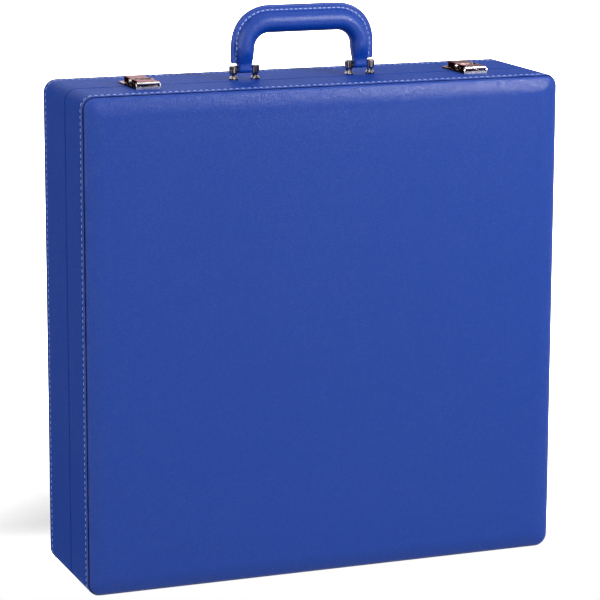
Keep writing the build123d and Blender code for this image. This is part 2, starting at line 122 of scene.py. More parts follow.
def ramp(tree, source, stops):
    made = tree.nodes.new("ShaderNodeValToRGB")
    elements = made.color_ramp.elements
    elements[0].position, elements[0].color = stops[0][0], (*stops[0][1], 1)
    elements[1].position, elements[1].color = stops[-1][0], (*stops[-1][1], 1)
    for place, colour in stops[1:-1]:
        extra = elements.new(place)
        extra.color = (*colour, 1)
    tree.links.new(source, made.inputs[0])
    return made.outputs[0]


def mask(tree, source, start, end):
    """Black below start, white above end."""
    return ramp(tree, source, [(start, (0, 0, 0)), (end, (1, 1, 1))])


def maths(tree, operation, a, b=None, clamp=False):
    made = tree.nodes.new("ShaderNodeMath")
    made.operation = operation
    made.use_clamp = clamp
    for i, value in enumerate((a, b)):
        if value is None:
            continue
        if isinstance(value, (int, float)):
            made.inputs[i].default_value = value
        else:
            tree.links.new(value, made.inputs[i])
    return made.outputs[0]


def plus(tree, a, b):
    return maths(tree, "ADD", a, b)


def minus(tree, a, b, clamp=False):
    return maths(tree, "SUBTRACT", a, b, clamp)


def times(tree, a, b, clamp=False):
    return maths(tree, "MULTIPLY", a, b, clamp)


def over(tree, a, limit):
    return maths(tree, "GREATER_THAN", a, limit)


def bump(tree, height, strength, distance, normal=None):
    made = tree.nodes.new("ShaderNodeBump")
    made.inputs["Strength"].default_value = strength
    made.inputs["Distance"].default_value = distance
    tree.links.new(height, made.inputs["Height"])
    if normal is not None:
        tree.links.new(normal, made.inputs["Normal"])
    return made.outputs["Normal"]


def mix_colour(tree, factor, a, b, blend="MIX"):
    made = tree.nodes.new("ShaderNodeMix")
    made.data_type = "RGBA"
    made.blend_type = blend
    for socket, value in ((made.inputs[0], factor), (made.inputs[6], a), (made.inputs[7], b)):
        if isinstance(value, (int, float)):
            socket.default_value = value
        elif isinstance(value, tuple):
            socket.default_value = (*value, 1)
        else:
            tree.links.new(value, socket)
    return made.outputs[2]


# Leather

BLUE = (0.002, 0.049, 0.352)
BLUE_DARK = (0.001, 0.040, 0.315)
BLUE_LIGHT = (0.010, 0.066, 0.400)
# Pale blue of wear and of a painted highlight; dark blues for painted shade at a pad's foot and in the needle
# holes
WEAR_AND_HIGHLIGHT = (0.09, 0.15, 0.54)
FOOT_SHADE = (0.004, 0.020, 0.17)
HOLE_SHADE = (0.004, 0.008, 0.04)


def leather_relief(tree, grain):
    """Grain of the leather as a normal, and its creases, ridges, fibres and patches as values."""
    place = tree.nodes.new("ShaderNodeTexCoord").outputs["Object"]

    def texture(kind, scale, **values):
        made = node(tree, kind, **values)
        made.inputs["Scale"].default_value = scale
        tree.links.new(place, made.inputs["Vector"])
        return made

    cells = texture("ShaderNodeTexVoronoi", 560.0, feature="DISTANCE_TO_EDGE", Randomness=1.0)
    fibre = texture("ShaderNodeTexNoise", 620.0, Detail=4.0, Roughness=0.65, Distortion=1.2).outputs["Fac"]
    broad = texture("ShaderNodeTexNoise", 11.0, Detail=4.0, Roughness=0.55).outputs["Fac"]
    patch = texture("ShaderNodeTexNoise", 60.0, Detail=4.0, Roughness=0.55).outputs["Fac"]
    folds = texture("ShaderNodeTexNoise", 330.0, Detail=3.0, Roughness=0.55, Distortion=1.6).outputs["Fac"]
    crease = times(tree, cells.outputs["Distance"], 4.5, clamp=True)
    ridge = maths(tree, "ABSOLUTE", minus(tree, folds, 0.5))
    ridge = minus(tree, 1.0, times(tree, ridge, 34.0), clamp=True)
    height = plus(tree, maths(tree, "POWER", crease, 0.45), times(tree, fibre, 0.6))
    soft = plus(tree, broad, times(tree, patch, 0.3))
    normal = bump(tree, soft, 0.05, 0.0014)
    normal = bump(tree, height, 0.42 * grain, 0.00018, normal)
    normal = bump(tree, ridge, 0.55 * grain, 0.00016, normal)
    return normal, crease, ridge, fibre, patch


def leather_tone(tree, crease, ridge, fibre, patch):
    """Blue that is darker in patches and lighter on fibres, with painted shade in the grain's creases and a
    painted highlight on its ridges.
    """
    tone = ramp(tree, fibre, [(0.30, BLUE_DARK), (0.50, BLUE), (0.72, BLUE_LIGHT)])
    tone = mix_colour(tree, times(tree, patch, 0.35), tone, BLUE_DARK)
    # Painted shade in the grain's creases
    tone = mix_colour(tree, times(tree, minus(tree, 1.0, crease), 0.25), tone, BLUE_DARK)
    tone = mix_colour(tree, times(tree, over(tree, fibre, 0.62), 0.22), tone, BLUE_LIGHT)
    # Painted highlight on the grain's ridges
    return mix_colour(tree, times(tree, ridge, 0.13), tone, BLUE_LIGHT)


def pad_edge_tone(tree, tone, inwards, wear_and_sheen):
    """Paler near a pad's edge, partly wear and partly a painted highlight on its rolled edge, and painted
    shade at its foot. inwards is 0 at the edge, 1 on the flat field.
    """
    near = minus(tree, 1.0, times(tree, inwards, 6.0), clamp=True)
    # Paler near the edge: partly wear, partly a painted highlight on the rolled edge
    tone = mix_colour(tree, times(tree, times(tree, near, wear_and_sheen), 0.30), tone, WEAR_AND_HIGHLIGHT)
    # Painted shade at the pad's foot
    foot = minus(tree, 1.0, times(tree, inwards, 45.0), clamp=True)
    return mix_colour(tree, times(tree, foot, 0.7), tone, FOOT_SHADE)


def sewn_rim(tree, tone, normal, along, across, wear_and_sheen):
    """Puckers and needle holes between the stitches, the holes darkened with painted shade, and the rim's
    crest made paler, partly as wear and partly as a painted highlight; the crest is also given as a mask.

    along counts stitches, and across is 0 on the stitches and -1 or 1 where the puckers end.
    """
    wave = maths(tree, "COSINE", times(tree, along, 2 * math.pi))
    near = minus(tree, 1.0, maths(tree, "ABSOLUTE", across), clamp=True)
    near = times(tree, near, near)
    normal = bump(tree, times(tree, wave, near), 0.5, 0.00035, normal)
    # Painted shade in the needle holes
    hole = times(tree, over(tree, times(tree, wave, -1.0), 0.80), over(tree, near, 0.62))
    tone = mix_colour(tree, times(tree, hole, 0.75), tone, HOLE_SHADE)
    crest = maths(tree, "ABSOLUTE", plus(tree, across, STITCH_DEPTH / PUCKER))
    crest = minus(tree, 1.0, times(tree, crest, 1.1), clamp=True)
    # Paler crest of the rim: partly wear, partly a painted highlight
    tone = mix_colour(tree, times(tree, times(tree, crest, wear_and_sheen), 0.85), tone, WEAR_AND_HIGHLIGHT)
    return tone, normal, crest


def leather(name, specular, rough, grain=1.0, edge=None):
    """Fine-grained leatherette. edge says what its UV map measures: a wall's "rim" or the edge of a "pad"."""
    mat, tree, shader = new_material(name)
    normal, crease, ridge, fibre, patch = leather_relief(tree, grain)
    tone = leather_tone(tree, crease, ridge, fibre, patch)
    if edge:
        uv = tree.nodes.new("ShaderNodeSeparateXYZ")
        tree.links.new(tree.nodes.new("ShaderNodeTexCoord").outputs["UV"], uv.inputs[0])
        # Patches of wear that also carry painted highlights on pad edges and the rim's crest
        wear_and_sheen = times(tree, minus(tree, patch, 0.30), 2.6, clamp=True)
    if edge == "pad":
        tone = pad_edge_tone(tree, tone, uv.outputs["X"], wear_and_sheen)
    if edge == "rim":
        tone, normal, crest = sewn_rim(tree, tone, normal, uv.outputs["X"], uv.outputs["Y"], wear_and_sheen)
        shine = plus(tree, times(tree, crest, 0.4), specular)
    else:
        facing = tree.nodes.new("ShaderNodeLayerWeight").outputs["Facing"]
        shine = times(tree, minus(tree, 1.0, facing), specular)
    gloss = plus(tree, times(tree, patch, 0.06), times(tree, minus(tree, 1.0, crease), 0.14))
    tree.links.new(tone, shader.inputs["Base Color"])
    tree.links.new(plus(tree, gloss, rough - 0.06), shader.inputs["Roughness"])
    tree.links.new(normal, shader.inputs["Normal"])
    tree.links.new(shine, shader.inputs["Specular IOR Level"])
    return mat


leather_panel = leather("leather_panel", 0.35, 0.215, edge="pad")
leather_rim = leather("leather_rim", 0.05, 0.58, edge="rim")
leather_grip = leather("leather_grip", 0.50, 0.28, grain=0.6)


# Metal, velvet, wood and thread

ACROSS_POST = (700, 700, 30)
ACROSS_SHEET = (4000, 300, 4000)
GLINT = (0.92, 0.90, 0.88)
TARNISH = (0.62, 0.58, 0.56)


def metal(name, face, side, painted_ahead_tone, rough, tint, streaks=0.0):
    """Plated metal, its light and shade painted by facing: one colour for what looks up or down (face), one
    for what looks ahead or back, and one for the rest (side).
    """
    mat, tree, shader = new_material(name)
    coords = tree.nodes.new("ShaderNodeTexCoord")
    lines = node(tree, "ShaderNodeMapping")
    lines.inputs["Scale"].default_value = ACROSS_POST if streaks else ACROSS_SHEET
    tree.links.new(coords.outputs["Object"], lines.inputs["Vector"])
    drawn = node(tree, "ShaderNodeTexNoise", Scale=1.0, Detail=2.0)
    tree.links.new(lines.outputs[0], drawn.inputs["Vector"])
    patch = node(tree, "ShaderNodeTexNoise", Scale=420.0, Detail=4.0, Roughness=0.6)
    tree.links.new(coords.outputs["Object"], patch.inputs["Vector"])
    split = tree.nodes.new("ShaderNodeSeparateXYZ")
    tree.links.new(coords.outputs["Normal"], split.inputs[0])
    # Colour by which way the surface faces: painted light and shade
    up = maths(tree, "ABSOLUTE", split.outputs["Z"])
    ahead = maths(tree, "ABSOLUTE", split.outputs["Y"])
    tone = mix_colour(tree, mask(tree, up, 0.25, 0.85), side, face)
    tone = mix_colour(tree, mask(tree, ahead, 0.55, 0.95), tone, painted_ahead_tone)
    # Painted glints along the drawn lines of the posts
    if streaks:
        glint = mask(tree, drawn.outputs["Fac"], 0.50, 0.60)
        tone = mix_colour(tree, times(tree, glint, streaks), tone, GLINT)
    stain = ramp(tree, patch.outputs["Fac"], [(0.35, TARNISH), (0.62, (1, 1, 1))])
    tree.links.new(mix_colour(tree, 1.0, tone, stain, "MULTIPLY"), shader.inputs["Base Color"])
    gloss = plus(tree, times(tree, patch.outputs["Fac"], 0.14), rough - 0.05)
    tree.links.new(gloss, shader.inputs["Roughness"])
    tree.links.new(bump(tree, drawn.outputs["Fac"], 0.08, 0.00005), shader.inputs["Normal"])
    shader.inputs["Metallic"].default_value = 1.0
    shader.inputs["Specular Tint"].default_value = (*tint, 1)
    return mat


def velvet(name, base, dark):
    """Short pile: fine nap, patches where it is stroked the other way, and a soft sheen."""
    mat, tree, shader = new_material(name)
    coords = tree.nodes.new("ShaderNodeTexCoord").outputs["Object"]
    nap = node(tree, "ShaderNodeTexNoise", Scale=1600.0, Detail=2.0)
    stroke = node(tree, "ShaderNodeTexNoise", Scale=22.0, Detail=3.0, Distortion=0.6)
    for texture in (nap, stroke):
        tree.links.new(coords, texture.inputs["Vector"])
    tone = ramp(tree, stroke.outputs["Fac"], [(0.35, dark), (0.65, base)])
    tone = mix_colour(tree, times(tree, nap.outputs["Fac"], 0.4), tone, dark)
    tree.links.new(tone, shader.inputs["Base Color"])
    tree.links.new(bump(tree, nap.outputs["Fac"], 0.5, 0.0003), shader.inputs["Normal"])
    shader.inputs["Roughness"].default_value = 0.9
    shader.inputs["Sheen Weight"].default_value = 0.5
    shader.inputs["Sheen Roughness"].default_value = 0.4
    shader.inputs["Sheen Tint"].default_value = (0.5, 0.6, 1.0, 1)
    return mat


def timber(name, base, dark):
    """Plain board with long grain and pores, seen only where the covering ends."""
    mat, tree, shader = new_material(name)
    coords = tree.nodes.new("ShaderNodeTexCoord").outputs["Object"]
    stretch = node(tree, "ShaderNodeMapping")
    stretch.inputs["Scale"].default_value = (30, 400, 30)
    tree.links.new(coords, stretch.inputs["Vector"])
    figure = node(tree, "ShaderNodeTexNoise", Scale=1.0, Detail=6.0, Distortion=0.8)
    tree.links.new(stretch.outputs[0], figure.inputs["Vector"])
    tone = ramp(tree, figure.outputs["Fac"], [(0.35, dark), (0.65, base)])
    tree.links.new(tone, shader.inputs["Base Color"])
    tree.links.new(bump(tree, figure.outputs["Fac"], 0.3, 0.0003), shader.inputs["Normal"])
    shader.inputs["Roughness"].default_value = 0.7
    return mat


def thread(name, base, dark):
    """Twisted sewing thread."""
    mat, tree, shader = new_material(name)
    coords = tree.nodes.new("ShaderNodeTexCoord").outputs["Object"]
    twist = node(tree, "ShaderNodeTexWave", Scale=1400.0, Distortion=1.5, Detail=1.0)
    twist.bands_direction = "DIAGONAL"
    tree.links.new(coords, twist.inputs["Vector"])
    tone = ramp(tree, twist.outputs["Fac"], [(0.1, dark), (0.7, base)])
    tree.links.new(tone, shader.inputs["Base Color"])
    tree.links.new(bump(tree, twist.outputs["Fac"], 0.4, 0.0001), shader.inputs["Normal"])
    shader.inputs["Roughness"].default_value = 0.6
    return mat


# Metals with light and shade painted by facing, and painted glints on the posts
nickel_post = metal("nickel_post", face=(0.70, 0.66, 0.63), side=(0.035, 0.022, 0.022),
                    painted_ahead_tone=(0.075, 0.055, 0.055), rough=0.12, tint=(0.7, 0.7, 0.7), streaks=0.9)
nickel = metal("nickel", face=(0.36, 0.29, 0.28), side=(0.08, 0.05, 0.045),
               painted_ahead_tone=(0.88, 0.84, 0.80), rough=0.18, tint=(0.45, 0.38, 0.38))
nickel_top = metal("nickel_top", face=(0.25, 0.17, 0.18), side=(0.05, 0.03, 0.026),
                   painted_ahead_tone=(0.86, 0.80, 0.76), rough=0.24, tint=(0.42, 0.30, 0.31))
steel = metal("steel", face=(0.50, 0.50, 0.51), side=(0.42, 0.42, 0.43),
              painted_ahead_tone=(0.60, 0.60, 0.61), rough=0.34, tint=(0.8, 0.8, 0.8))
pile = velvet("velvet_blue", (0.012, 0.026, 0.150), (0.005, 0.012, 0.080))
board = timber("board_wood", (0.42, 0.27, 0.14), (0.28, 0.17, 0.08))
sewing = thread("thread_blue", (0.55, 0.65, 0.98), (0.28, 0.38, 0.80))


# Mesh helpers

def add_to_scene(name, data):
    obj = bpy.data.objects.new(name, data)
    bpy.context.scene.collection.objects.link(obj)
    return obj


def make_object(name, verts, faces, material, body, sharp=35.0):
    """Smooth-shaded object from points in millimetres, marked with the body that it rides on."""
    mesh = bpy.data.meshes.new(name)
    mesh.from_pydata([tuple(c * MM for c in v) for v in verts], [], faces)
    mesh.validate()
    built = bmesh.new()
    built.from_mesh(mesh)
    bmesh.ops.recalc_face_normals(built, faces=built.faces)
    built.to_mesh(mesh)
    built.free()
    mesh.shade_smooth()
    mesh.set_sharp_from_angle(angle=math.radians(sharp))
    mesh.materials.append(material)
    obj = add_to_scene(name, mesh)
    obj["on_body"] = body
    return obj


def grid_faces(columns, rows):
    """Faces of a grid whose points were added column by column."""
    corners = [i * rows + j for i in range(columns - 1) for j in range(rows - 1)]
    return [(k, k + rows, k + rows + 1, k + 1) for k in corners]


def grid_border(columns, rows):
    """Outer points of such a grid, once round."""
    last = (columns - 1) * rows
    border = [i * rows for i in range(columns)]
    border += [last + j for j in range(1, rows)]
    border += [i * rows + rows - 1 for i in range(columns - 2, -1, -1)]
    border += list(range(rows - 2, 0, -1))
    return border


def join_loops(faces, first, second):
    """Add the faces between two closed loops of equally many points."""
    n = len(first)
    for k in range(n):
        faces.append((first[k], first[(k + 1) % n], second[(k + 1) % n], second[k]))


def bake(obj):
    """Apply the object's modifiers to its mesh."""
    bpy.context.view_layer.update()
    graph = bpy.context.evaluated_depsgraph_get()
    mesh = bpy.data.meshes.new_from_object(obj.evaluated_get(graph), depsgraph=graph)
    obj.modifiers.clear()
    obj.data = mesh


def cut(obj, *cutters):
    for cutter in cutters:
        made = obj.modifiers.new("cut", "BOOLEAN")
        made.object = cutter
        made.operation = "DIFFERENCE"
        made.solver = "EXACT"
    bake(obj)
    obj.data.set_sharp_from_angle(angle=math.radians(50))


# Case walls

WALL_STEPS = 6
LEAST_CORNER = 0.4


def rim_path(inset, side_steps=24, arc_steps=9):
    """Points along the rounded outline of the case at one inset, and the length round it.

    Each point is (x, z, length so far, outward normal), with lengths measured on the outermost outline.
    """
    radius = max(CORNER - inset, LEAST_CORNER)
    half_w = CASE_W / 2 - inset - radius
    half_h = CASE_H / 2 - inset - radius
    points = []
    travelled = 0.0
    # A corner's side in x and in z and its start angle, each followed by a straight side
    for sx, sz, start in ((1, 1, 0), (-1, 1, 90), (-1, -1, 180), (1, -1, 270)):
        cx = sx * half_w
        cz = CASE_H / 2 + sz * half_h
        for i in range(arc_steps):
            angle = math.radians(start + 90 * i / arc_steps)
            normal = (math.cos(angle), math.sin(angle))
            arc = CORNER * (angle - math.radians(start))
            points.append((cx + radius * normal[0], cz + radius * normal[1], travelled + arc, normal))
        travelled += CORNER * math.pi / 2
        angle = math.radians(start + 90)
        normal = (math.cos(angle), math.sin(angle))
        x0 = cx + radius * normal[0]
        z0 = cz + radius * normal[1]
        level = start in (0, 180)
        length = 2 * (half_w if level else half_h)
        span = (CASE_W if level else CASE_H) - 2 * CORNER
        for i in range(side_steps):
            t = i / side_steps
            x = x0 - normal[1] * length * t
            z = z0 + normal[0] * length * t
            points.append((x, z, travelled + span * t, normal))
        travelled += span
    return points, travelled


def clear_of_relief(y, z, towards_front, deeper=0.0):
    """Pull a point back to the chamfer along the lower seam edge."""
    tip = HINGE_Z + deeper / math.sin(RELIEF_ANGLE)
    if z >= tip:
        return y
    reach = (tip - z) * RELIEF
    if towards_front:
        return min(y, SEAM - reach)
    return max(y, SEAM + reach)


def cover_profile(rim_y, seam_y):
    """Cross-section (inset, y) of the covering: from the pad's foot over the rim to the seam and back."""
    way = 1 if seam_y > rim_y else -1
    d = STITCH_DEPTH
    rim = [(0.9, 2.0), (0.9, 0.7), (0.86, 0.4), (0.78, 0.16), (0.66, 0.04), (0.5, 0.0), (0.34, 0.04),
           (0.18, 0.16), (0.06, 0.36), (0.0, 0.65), (0.0, 1.3)]
    sewn_groove = [(0.03, d - 1.9), (0.12, d - 1.1), (0.26, d - 0.5), (0.34, d),
                   (0.26, d + 0.5), (0.12, d + 1.1), (0.03, d + 1.9), (0.0, d + 2.9), (0.0, d + 5.0)]
    profile = [(inset, rim_y + way * depth) for inset, depth in rim + sewn_groove]
    start = profile[-1][1]
    end = seam_y - way * 6.0
    for i in range(1, WALL_STEPS + 1):
        profile.append((0.0, start + (end - start) * i / WALL_STEPS))
    seam_edge = [(0, 4.5), (0, 3.4), (0, 2.6), (0, 2.0), (0.0, 1.5), (0.05, 1.0), (0.18, 0.6), (0.42, 0.27),
                 (0.75, 0.06), (1.15, 0.0), (2.2, 0.0), (4.0, 0.0), (TURN_IN, 0.0)]
    inside = [(TURN_IN, COVER_T), (COVER_T, COVER_T)]
    profile += [(inset, seam_y - way * back) for inset, back in seam_edge + inside]
    profile.append((COVER_T, rim_y + way * 2.0))
    return profile


def wall_cover(name, rim_y, seam_y, body):
    """Leather round one shell's walls, its UV counting stitches along and puckers across."""
    profile = cover_profile(rim_y, seam_y)
    front = seam_y > rim_y
    verts = []
    uvs = []
    loops = []
    for row, (inset, y) in enumerate(profile):
        deeper = COVER_T if row >= len(profile) - 3 else 0.0
        points, total = rim_path(inset)
        count = round(total / STITCH_PITCH)
        loop = []
        for x, z, s, _ in points:
            loop.append(len(verts))
            verts.append((x, clear_of_relief(y, z, front, deeper), z))
            uvs.append((s / total * count, (abs(y - rim_y) - STITCH_DEPTH) / PUCKER))
        loops.append(loop)
    faces = []
    for first, second in zip(loops, loops[1:] + loops[:1]):
        join_loops(faces, first, second)
    obj = make_object(name, verts, faces, leather_rim, body, 50.0)
    layer = obj.data.uv_layers.new(name="rim")
    for polygon in obj.data.polygons:
        values = [uvs[obj.data.loops[i].vertex_index] for i in polygon.loop_indices]
        far = max(u for u, _ in values)
        for i, (u, v) in zip(polygon.loop_indices, values):
            # The last face of a row runs on past the count instead of back to nothing
            if far - u > far / 2:
                u += count
            layer.data[i].uv = (u, v)
    return obj


# Room for the hinges: a bore round the knuckles and a slot round the leaves
HINGE_ROOM_LEN = 60.6
HINGE_ROOM_R = 2.6
LEAF_ROOM_T = 2.2
LEAF_ROOM_H = 7.3
LEAF_ROOM_Z = 6.35


def cutter_object(name, built):
    mesh = bpy.data.meshes.new(name)
    built.to_mesh(mesh)
    built.free()
    return add_to_scene(name, mesh)


def hinge_cutter():
    built = bmesh.new()
    for x in (-HINGE_X, HINGE_X):
        place = Matrix.Translation((x * MM, SEAM * MM, HINGE_Z * MM))
        bmesh.ops.create_cone(built, cap_ends=True, segments=40, radius1=HINGE_ROOM_R * MM,
                              radius2=HINGE_ROOM_R * MM, depth=HINGE_ROOM_LEN * MM,
                              matrix=place @ Matrix.Rotation(math.pi / 2, 4, "Y"))
    return cutter_object("hinge_room", built)


def leaf_cutter():
    built = bmesh.new()
    for x in (-HINGE_X, HINGE_X):
        place = Matrix.Translation((x * MM, SEAM * MM, LEAF_ROOM_Z * MM))
        size = Matrix.Diagonal((HINGE_ROOM_LEN * MM, LEAF_ROOM_T * MM, LEAF_ROOM_H * MM, 1))
        bmesh.ops.create_cube(built, size=1.0, matrix=place @ size)
    return cutter_object("leaf_room", built)


hinge_room = (hinge_cutter(), leaf_cutter())
lid_wall = wall_cover("lid_wall_leather", LID_RIM, LID_SEAM, "lid")
base_wall = wall_cover("base_wall_leather", BASE_RIM, BASE_SEAM, "base")
for wall in (lid_wall, base_wall):
    cut(wall, *hinge_room)
for tool in hinge_room:
    bpy.data.objects.remove(tool)


# Swelling of the soft pieces

LAST_FRAME = 20


def inflate(obj, pins, pressure, cap):
    """Let a closed soft piece swell as cloth and keep the shape.

    The pinned points are held, and no point moves further than cap.
    """
    scene = bpy.context.scene
    group = obj.vertex_groups.new(name="pins")
    for i, weight in enumerate(pins):
        if weight > 0:
            group.add([i], weight, "REPLACE")
    made = obj.modifiers.new("cloth", "CLOTH")
    settings = made.settings
    settings.quality = 4
    settings.mass = 0.25
    settings.tension_stiffness = 18
    settings.compression_stiffness = 18
    settings.shear_stiffness = 8
    settings.bending_stiffness = 1.5
    settings.vertex_group_mass = "pins"
    settings.use_pressure = True
    settings.uniform_pressure_force = pressure
    settings.effector_weights.gravity = 0
    made.collision_settings.use_collision = False
    made.collision_settings.use_self_collision = False
    made.point_cache.frame_start = 1
    made.point_cache.frame_end = LAST_FRAME
    for frame_number in range(1, LAST_FRAME + 1):
        scene.frame_set(frame_number)
    graph = bpy.context.evaluated_depsgraph_get()
    swollen = obj.evaluated_get(graph).data
    moves = [swollen.vertices[i].co - v.co for i, v in enumerate(obj.data.vertices)]
    for vertex, move in zip(obj.data.vertices, moves):
        if move.length > cap * MM:
            move = move.normalized() * cap * MM
        vertex.co = vertex.co + move
    obj.modifiers.remove(made)
    obj.vertex_groups.clear()
    scene.frame_set(1)


# Padded panels

PANEL_INSET = 1.2
PAD_EDGE = 15.0
PAD_PROUD = 2.5
EDGE_DROP = 0.9
EDGE_ROLL = 1.5
EDGE_FALL = 1.3
PAD_SIDE_DEPTHS = (2.8, 3.8, 4.9)
EDGE_STEPS = (0, 0.08, 0.25, 0.5, 0.9, 1.5, 2.2, 3.2, 4.4, 5.8, 7.3, 9.0, 10.8, 12.6, 14.4, 16.4, 19.0)
FIELD_START = 23.0
FIELD_STEP = 9.0
PIN_END = 22.0
PIN_FADE = 9.0
PAD_PRESSURE = 0.6
PAD_CAP = 0.7


def edge_distance(x, z):
    """Distance inside the rounded outline of the panel."""
    radius = CORNER - PANEL_INSET
    qx = abs(x) - (CASE_W / 2 - PANEL_INSET - radius)
    qz = abs(z - CASE_H / 2) - (CASE_H / 2 - PANEL_INSET - radius)
    outside = math.hypot(max(qx, 0), max(qz, 0))
    return radius - outside - min(max(qx, qz), 0)


def pad_depth(d):
    """How far the padded face lies behind its shoulder's plane, at a distance from its edge."""
    t = min(max(d / PAD_EDGE, 0.0), 1.0)
    depth = EDGE_DROP - (PAD_PROUD + EDGE_DROP) * t * (2 - t)
    if d < EDGE_ROLL:
        depth += EDGE_FALL * (1 - math.sqrt(1 - (1 - max(d, 0) / EDGE_ROLL) ** 2))
    return depth


def spaced(half):
    """Positions from -half to half, close together near both ends."""
    inner_end = half - FIELD_START
    count = round(inner_end / FIELD_STEP)
    positive = [inner_end * i / count for i in range(count + 1)] + [half - d for d in EDGE_STEPS]
    return sorted({round(v, 4) for v in positive} | {round(-v, 4) for v in positive})


def round_corner(x, z, cx, cz, radius):
    """Squeeze a point of the square corner beyond (cx, cz) into the round one."""
    if abs(x) <= cx or abs(z) <= cz:
        return x, z
    u = (abs(x) - cx) / radius
    v = (abs(z) - cz) / radius
    px = math.copysign(cx + radius * u * math.sqrt(1 - v * v / 2), x)
    pz = math.copysign(cz + radius * v * math.sqrt(1 - u * u / 2), z)
    return px, pz


def padded_face(name, face_y, way, body):
    """Padded cover over a stiff panel: a fine sheet, its rolled edge and its turned-back sides."""
    half_w = CASE_W / 2 - PANEL_INSET
    half_h = CASE_H / 2 - PANEL_INSET
    radius = CORNER - PANEL_INSET
    xs = spaced(half_w)
    zs = spaced(half_h)
    verts = []
    edges = []
    for x in xs:
        for z in zs:
            px, pz = round_corner(x, z, half_w - radius, half_h - radius, radius)
            d = edge_distance(px, pz + CASE_H / 2)
            verts.append((px, face_y + way * pad_depth(d), pz + CASE_H / 2))
            edges.append(max(d, 0.0))
    faces = grid_faces(len(xs), len(zs))
    border = grid_border(len(xs), len(zs))
    previous = border
    for depth in PAD_SIDE_DEPTHS:
        ring = []
        for k in border:
            ring.append(len(verts))
            verts.append((verts[k][0], face_y + way * depth, verts[k][2]))
            edges.append(0.0)
        join_loops(faces, previous, ring)
        previous = ring
    faces.append(tuple(previous))
    obj = make_object(name, verts, faces, leather_panel, body, 60.0)
    pins = [min(1.0, max(0.0, (PIN_END - d) / PIN_FADE)) for d in edges]
    inflate(obj, pins, PAD_PRESSURE, PAD_CAP)
    layer = obj.data.uv_layers.new(name="edge")
    for loop in obj.data.loops:
        layer.data[loop.index].uv = (edges[loop.vertex_index] / PAD_EDGE, 0.5)
    return obj


front_pad = padded_face("front_padded_cover", FRONT, 1, "lid")
back_pad = padded_face("back_padded_cover", BACK, -1, "base")


# Saddle stitches

STITCH_R = 0.42
STITCH_SIDES = 8


def stitch_mesh(places, length, name, body):
    """One small arched, rounded stitch at every place: (centre, direction, outward)."""
    rings = [(-0.5, 0.35), (-0.40, 0.85), (-0.15, 1.0), (0.15, 1.0), (0.40, 0.85), (0.5, 0.35)]
    verts = []
    faces = []
    for centre, along, outward in places:
        side = along.cross(outward).normalized()
        loops = []
        for t, scale in rings:
            arch = STITCH_R * 0.9 * (1 - (2 * t) ** 2) - STITCH_R * 0.55
            middle = centre + along * (length * t) + outward * arch
            loops.append(list(range(len(verts), len(verts) + STITCH_SIDES)))
            for k in range(STITCH_SIDES):
                angle = 2 * math.pi * k / STITCH_SIDES
                offset = side * math.cos(angle) * STITCH_R * scale
                offset += outward * math.sin(angle) * STITCH_R * scale * 0.8
                verts.append(tuple(middle + offset))
        for first, second in zip(loops, loops[1:]):
            join_loops(faces, first, second)
        faces.append(tuple(reversed(loops[0])))
        faces.append(tuple(loops[-1]))
    return make_object(name, verts, faces, sewing, body, 80.0)


RIM_STITCH_LEN = 3.5
RIM_STITCH_INSET = 0.34
RIM_STITCH_PROUD = 0.05
RIM_STITCH_SLANT = 0.10


def along_rim(points, total, s):
    """Point x, z and outward normal at one length along the rim."""
    for i, a in enumerate(points):
        b = points[(i + 1) % len(points)]
        end = b[2] if i + 1 < len(points) else total
        if a[2] <= s < end:
            t = (s - a[2]) / (end - a[2])
            x = a[0] + (b[0] - a[0]) * t
            z = a[1] + (b[1] - a[1]) * t
            nx = a[3][0] + (b[3][0] - a[3][0]) * t
            nz = a[3][1] + (b[3][1] - a[3][1]) * t
            return x, z, Vector((nx, 0, nz)).normalized()


def rim_stitches(name, rim_y, way, body):
    points, total = rim_path(RIM_STITCH_INSET, 60, 14)
    count = round(total / STITCH_PITCH)
    places = []
    y = rim_y + way * STITCH_DEPTH
    for k in range(count):
        x, z, normal = along_rim(points, total, k * total / count)
        along = Vector((-normal.z, RIM_STITCH_SLANT * way, normal.x)).normalized()
        places.append((Vector((x, y, z)) + normal * RIM_STITCH_PROUD, along, normal))
    return stitch_mesh(places, RIM_STITCH_LEN, name, body)


rim_stitches("front_rim_stitches", LID_RIM, 1, "lid")
rim_stitches("back_rim_stitches", BASE_RIM, -1, "base")


# Handle, its heights counted from the top of the case

LEG_X = 48.7
GRIP_Z = CASE_H + 44.6
BEND = 20.0
BEND_Z = GRIP_Z - BEND
BEND_STEPS = 16
BAR_STEPS = 10
LEG_LOW = CASE_H + 5.1
LEG_ROUND = 2.2
WELT_LOW = CASE_H + 12.9
WELT_ROUND = 1.0
TONGUE_STEPS = (0.0, 0.2, 0.6, 1.2, 2.1, 3.5, 5.1, 6.5, 7.5)
WELT_STEPS = (0.0, 0.2, 0.5, 1.0, 1.9, 3.3, 5.1, 7.3, 9.5)

# Half sizes of the grip at the tongue and along the leg, and what elbow and bar add
TONGUE_REACH = 5.4
TONGUE_HALF = 4.0
LEG_GAIN_REACH = 1.8
LEG_GAIN_HALF = 3.2
ELBOW_GAIN = 0.5
ELBOW_R = 7.7
WIDEN_LOW = CASE_H + 11.0
WIDEN_SPAN = 11.0
LEG_FULL = CASE_H + 19.0

# Sewn edge outside the padding: its reach at the legs, what the elbow adds, and its thickness
WELT_REACH = 11.0
WELT_GAIN = 2.0
WELT_HALF = 1.55
WELT_EDGE = 1.3

